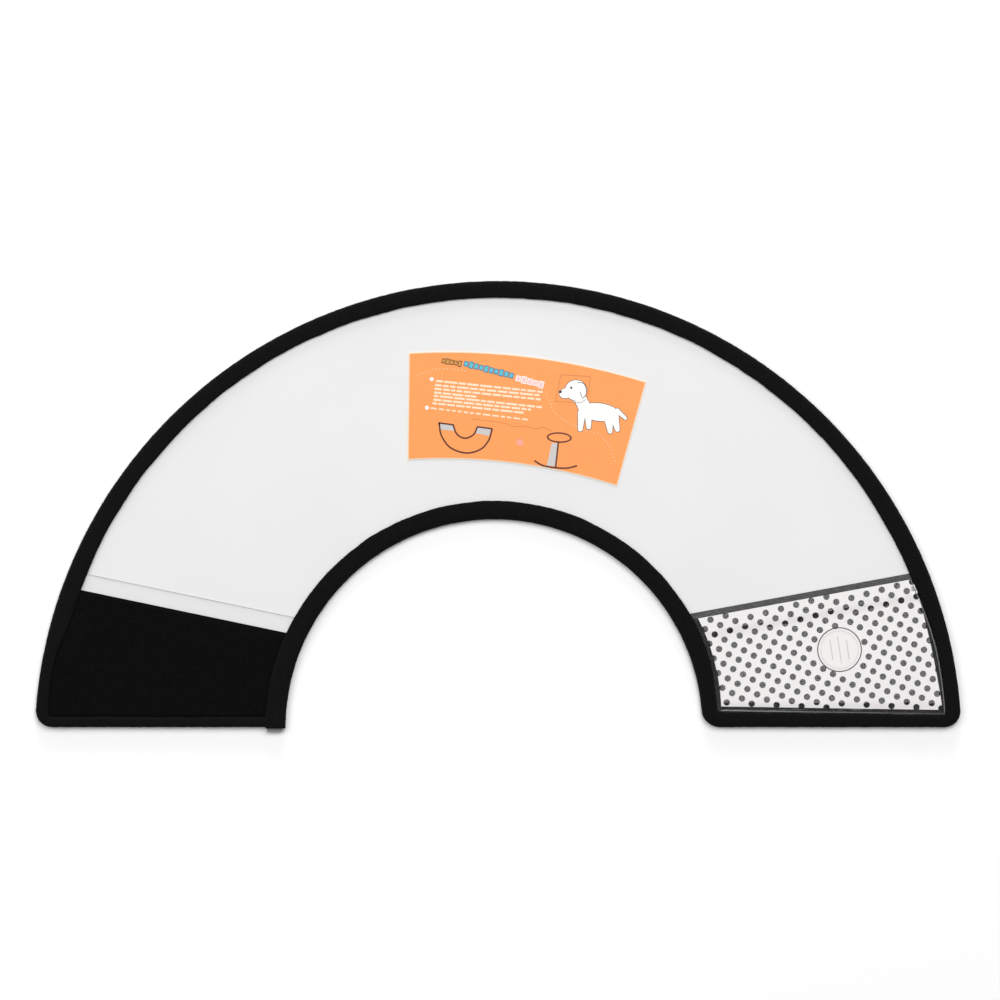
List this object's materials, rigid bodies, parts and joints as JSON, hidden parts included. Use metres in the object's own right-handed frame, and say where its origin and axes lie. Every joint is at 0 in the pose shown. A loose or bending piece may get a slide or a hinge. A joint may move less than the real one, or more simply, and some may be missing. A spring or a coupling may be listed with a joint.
{
  "type": "elizabethan collar",
  "caption": "Flat half-ring pet cone of flexible frosted plastic with fleece-bound edges and a hook and loop closure; it rolls up into a cone.",
  "frame": {"origin": "middle of the flat collar's outline, on the face it rests on", "axes": "+X to the right end with the hook panel, seen from the front; +Y towards the top of the arch; +Z out of the printed front face"},
  "size_m": [0.5092, 0.2484, 0.0046],
  "materials": {
    "sheet": "frosted translucent polypropylene sheet",
    "fleece": "black napped fleece binding tape",
    "loop": "black brushed loop pile",
    "hook": "black moulded hook tape",
    "film": "clear film printed with a white field that leaves round dots clear",
    "card": "orange printed satin card",
    "strip": "clear thin film strip"
  },
  "bodies": {
    "right_7": {"sheet_right_7": "sheet", "hook_panel_right_7": "hook", "film_right_7": "film", "end_binding_right": "fleece"},
    "right_6": {"sheet_right_6": "sheet", "rim_binding_right_6": "fleece", "neck_binding_right_6": "fleece", "hook_panel_right_6": "hook", "film_right_6": "film"},
    "right_5": {"sheet_right_5": "sheet", "rim_binding_right_5": "fleece", "neck_binding_right_5": "fleece", "hook_panel_right_5": "hook", "film_right_5": "film"},
    "right_4": {"sheet_right_4": "sheet", "rim_binding_right_4": "fleece", "neck_binding_right_4": "fleece"},
    "right_3": {"sheet_right_3": "sheet", "rim_binding_right_3": "fleece", "neck_binding_right_3": "fleece"},
    "right_2": {"sheet_right_2": "sheet", "rim_binding_right_2": "fleece", "neck_binding_right_2": "fleece", "card_right_2": "card"},
    "right_1": {"sheet_right_1": "sheet", "rim_binding_right_1": "fleece", "neck_binding_right_1": "fleece", "card_right_1": "card"},
    "center": {"sheet_center": "sheet", "rim_binding_center": "fleece", "neck_binding_center": "fleece", "card_center": "card"},
    "left_1": {"sheet_left_1": "sheet", "rim_binding_left_1": "fleece", "neck_binding_left_1": "fleece", "card_left_1": "card"},
    "left_2": {"sheet_left_2": "sheet", "rim_binding_left_2": "fleece", "neck_binding_left_2": "fleece"},
    "left_3": {"sheet_left_3": "sheet", "rim_binding_left_3": "fleece", "neck_binding_left_3": "fleece"},
    "left_4": {"sheet_left_4": "sheet", "rim_binding_left_4": "fleece", "neck_binding_left_4": "fleece"},
    "left_5": {"sheet_left_5": "sheet", "rim_binding_left_5": "fleece", "neck_binding_left_5": "fleece", "loop_front_left_5": "loop", "clear_strip_left_5": "strip"},
    "left_6": {"sheet_left_6": "sheet", "rim_binding_left_6": "fleece", "neck_binding_left_6": "fleece", "loop_front_left_6": "loop", "loop_back_left_6": "loop", "clear_strip_left_6": "strip"},
    "left_7": {"sheet_left_7": "sheet", "loop_front_left_7": "loop", "loop_back_left_7": "loop", "end_binding_left": "fleece"}
  },
  "joints": [
    {"name": "fold_left_1", "type": "hinge", "parent": "center", "child": "left_1", "pos_m": [-0.01934, 0.05699, 0.0046], "axis": [-0.1045, 0.9945, 0], "range_deg": [0, 26], "stiffness_Nm_per_rad": 0.05},
    {"name": "fold_left_2", "type": "hinge", "parent": "left_1", "child": "left_2", "pos_m": [-0.05717, 0.04895, 0.0046], "axis": [-0.309, 0.9511, 0], "range_deg": [0, 26], "stiffness_Nm_per_rad": 0.05},
    {"name": "fold_left_3", "type": "hinge", "parent": "left_2", "child": "left_3", "pos_m": [-0.0925, 0.03322, 0.0046], "axis": [-0.5, 0.866, 0], "range_deg": [0, 26], "stiffness_Nm_per_rad": 0.05},
    {"name": "fold_left_4", "type": "hinge", "parent": "left_3", "child": "left_4", "pos_m": [-0.12379, 0.01048, 0.0046], "axis": [-0.6691, 0.7431, 0], "range_deg": [0, 26], "stiffness_Nm_per_rad": 0.05},
    {"name": "fold_left_5", "type": "hinge", "parent": "left_4", "child": "left_5", "pos_m": [-0.14967, -0.01826, 0.0046], "axis": [-0.809, 0.5878, 0], "range_deg": [0, 26], "stiffness_Nm_per_rad": 0.05},
    {"name": "fold_left_6", "type": "hinge", "parent": "left_5", "child": "left_6", "pos_m": [-0.16901, -0.05175, 0.0046], "axis": [-0.9135, 0.4067, 0], "range_deg": [0, 26], "stiffness_Nm_per_rad": 0.05},
    {"name": "fold_left_7", "type": "hinge", "parent": "left_6", "child": "left_7", "pos_m": [-0.18096, -0.08854, 0.0046], "axis": [-0.9781, 0.2079, 0], "range_deg": [0, 26], "stiffness_Nm_per_rad": 0.05},
    {"name": "fold_right_1", "type": "hinge", "parent": "center", "child": "right_1", "pos_m": [0.01934, 0.05699, 0.0046], "axis": [-0.1045, -0.9945, 0], "range_deg": [0, 23.5], "stiffness_Nm_per_rad": 0.05},
    {"name": "fold_right_2", "type": "hinge", "parent": "right_1", "child": "right_2", "pos_m": [0.05717, 0.04895, 0.0046], "axis": [-0.309, -0.9511, 0], "range_deg": [0, 23.5], "stiffness_Nm_per_rad": 0.05},
    {"name": "fold_right_3", "type": "hinge", "parent": "right_2", "child": "right_3", "pos_m": [0.0925, 0.03322, 0.0046], "axis": [-0.5, -0.866, 0], "range_deg": [0, 23.5], "stiffness_Nm_per_rad": 0.05},
    {"name": "fold_right_4", "type": "hinge", "parent": "right_3", "child": "right_4", "pos_m": [0.12379, 0.01048, 0.0046], "axis": [-0.6691, -0.7431, 0], "range_deg": [0, 23.5], "stiffness_Nm_per_rad": 0.05},
    {"name": "fold_right_5", "type": "hinge", "parent": "right_4", "child": "right_5", "pos_m": [0.14967, -0.01826, 0.0046], "axis": [-0.809, -0.5878, 0], "range_deg": [0, 23.5], "stiffness_Nm_per_rad": 0.05},
    {"name": "fold_right_6", "type": "hinge", "parent": "right_5", "child": "right_6", "pos_m": [0.16901, -0.05175, 0.0046], "axis": [-0.9135, -0.4067, 0], "range_deg": [0, 23.5], "stiffness_Nm_per_rad": 0.05},
    {"name": "fold_right_7", "type": "hinge", "parent": "right_6", "child": "right_7", "pos_m": [0.18096, -0.08854, 0.0046], "axis": [-0.9781, -0.2079, 0], "range_deg": [0, 23.5], "stiffness_Nm_per_rad": 0.05}
  ],
  "couplings": [
    {"joint": "fold_left_2", "follows": "fold_left_1", "ratio": 1},
    {"joint": "fold_left_3", "follows": "fold_left_1", "ratio": 1},
    {"joint": "fold_left_4", "follows": "fold_left_1", "ratio": 1},
    {"joint": "fold_left_5", "follows": "fold_left_1", "ratio": 1},
    {"joint": "fold_left_6", "follows": "fold_left_1", "ratio": 1},
    {"joint": "fold_left_7", "follows": "fold_left_1", "ratio": 1},
    {"joint": "fold_right_1", "follows": "fold_left_1", "ratio": 0.9},
    {"joint": "fold_right_2", "follows": "fold_left_1", "ratio": 0.9},
    {"joint": "fold_right_3", "follows": "fold_left_1", "ratio": 0.9},
    {"joint": "fold_right_4", "follows": "fold_left_1", "ratio": 0.9},
    {"joint": "fold_right_5", "follows": "fold_left_1", "ratio": 0.9},
    {"joint": "fold_right_6", "follows": "fold_left_1", "ratio": 0.9},
    {"joint": "fold_right_7", "follows": "fold_left_1", "ratio": 0.9}
  ]
}
